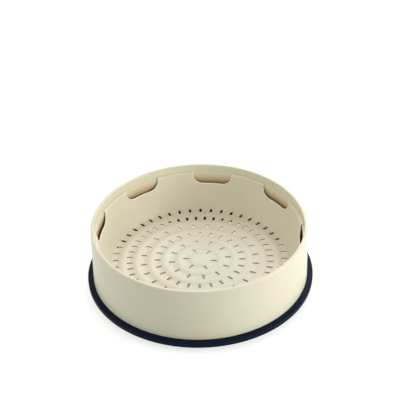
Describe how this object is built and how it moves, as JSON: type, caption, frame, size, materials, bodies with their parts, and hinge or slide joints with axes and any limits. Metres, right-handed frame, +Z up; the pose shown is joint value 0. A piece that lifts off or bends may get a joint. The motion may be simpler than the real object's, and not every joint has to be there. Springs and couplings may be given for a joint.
{
  "type": "steamer pot",
  "caption": "Round steamer insert for a pot: straight coated shell with a round rim, a lift-out perforated basket with a notched lip, and a soft seal ring round the foot.",
  "frame": {"origin": "centre of the seal's foot, on the plane that the object stands on", "axes": "+Z up, out of the open top; +X through the middle of one notch of the basket; +Y through the notch a quarter turn on"},
  "size_m": [0.2726, 0.2726, 0.083],
  "materials": {
    "seal_silicone": "satin",
    "shell_coating": "satin",
    "basket_coating": "satin"
  },
  "bodies": {
    "seal": {"base_seal": "seal_silicone"},
    "shell": {"outer_shell": "shell_coating"},
    "basket": {"steamer_basket": "basket_coating"}
  },
  "joints": [
    {"name": "shell_lift", "type": "slide", "parent": "seal", "child": "shell", "axis": [0, 0, 1], "range_m": [0, 0.03]},
    {"name": "basket_lift", "type": "slide", "parent": "shell", "child": "basket", "axis": [0, 0, 1], "range_m": [0, 0.07]}
  ]
}
